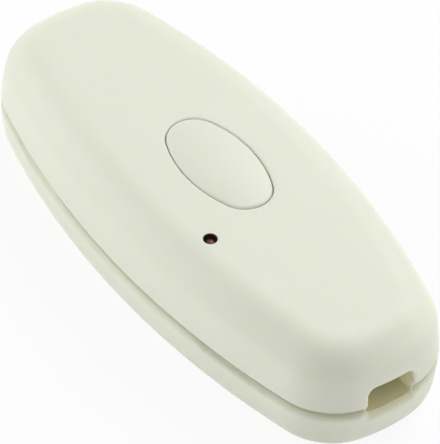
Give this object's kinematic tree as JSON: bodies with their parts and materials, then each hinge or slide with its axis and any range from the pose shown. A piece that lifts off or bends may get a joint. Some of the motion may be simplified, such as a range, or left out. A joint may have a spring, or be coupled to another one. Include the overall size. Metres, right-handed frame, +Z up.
{
  "type": "inline cord dimmer",
  "caption": "Hand-held inline lamp-cord dimmer: pillow-shaped two-shell housing with a domed oval push button, a pilot lamp behind a pinhole and a cord entry in each end.",
  "frame": {"origin": "middle of the flat base, under the centre of the push button", "axes": "+X along the cord towards the front entry, +Z up through the push button, the pilot lamp is on the -Y side of the button"},
  "size_m": [0.0994, 0.041, 0.024],
  "materials": {
    "ivory_plastic": "fine matte moulded ABS, warm greenish ivory",
    "button_plastic": "matte moulded ABS, same ivory as the shells",
    "zinc_steel": "zinc-plated steel",
    "clamp_plastic": "moulded nylon",
    "spring_steel": "drawn spring steel wire",
    "switch_plastic": "black moulded nylon",
    "plunger_plastic": "white moulded nylon",
    "tinned_metal": "tinned copper",
    "red_lens": "tinted red epoxy lens",
    "spacer_plastic": "black nylon",
    "board_laminate": "glass-epoxy laminate, green solder resist",
    "terminal_plastic": "green moulded nylon",
    "cage_brass": "plated brass",
    "sink_aluminium": "mill-finish aluminium strip",
    "tab_metal": "tinned copper alloy",
    "black_epoxy": "moulded black epoxy",
    "ferrite": "sintered ferrite",
    "copper_winding": "enamelled copper wire",
    "capacitor_case": "yellow flame-retardant case",
    "varistor_coating": "blue dipped epoxy",
    "can_sleeve": "dark shrink sleeve over an aluminium can",
    "resistor_coating": "tan lacquer",
    "fuse_ceramic": "ceramic body with end caps"
  },
  "bodies": {
    "housing": {"upper_shell": "ivory_plastic", "lower_shell": "ivory_plastic", "housing_screws": "zinc_steel", "cord_clamp_front": "clamp_plastic", "cord_clamp_rear": "clamp_plastic", "clamp_screws": "zinc_steel", "button_spring": "spring_steel", "switch_body": "switch_plastic", "switch_legs": "tinned_metal", "indicator_lamp": "red_lens", "lamp_spacer": "spacer_plastic", "circuit_board": "board_laminate", "output_terminal": "terminal_plastic", "input_terminal": "terminal_plastic", "terminal_cages": "cage_brass", "terminal_screws": "zinc_steel", "heat_sink": "sink_aluminium", "triac_tab": "tab_metal", "triac_body": "black_epoxy", "triac_leads": "tinned_metal", "triac_screw": "zinc_steel", "triac_nut": "zinc_steel", "choke_core": "ferrite", "choke_winding": "copper_winding", "film_capacitor": "capacitor_case", "varistor": "varistor_coating", "can_capacitor": "can_sleeve", "radial_leads": "tinned_metal", "control_chip": "black_epoxy", "chip_legs": "tinned_metal", "resistors": "resistor_coating", "diodes": "black_epoxy", "fuse": "fuse_ceramic", "axial_leads": "tinned_metal"},
    "button": {"push_button": "button_plastic"},
    "plunger": {"switch_plunger": "plunger_plastic"}
  },
  "joints": [
    {"name": "button_press", "type": "slide", "parent": "housing", "child": "button", "axis": [0, 0, -1], "range_m": [0, 0.001], "stiffness_N_per_m": 300, "springref_m": -0.002, "deforming": ["button_spring"]},
    {"name": "plunger_press", "type": "slide", "parent": "housing", "child": "plunger", "axis": [0, 0, -1], "range_m": [0, 0.001]}
  ],
  "couplings": [
    {"joint": "plunger_press", "follows": "button_press", "ratio": 1}
  ]
}
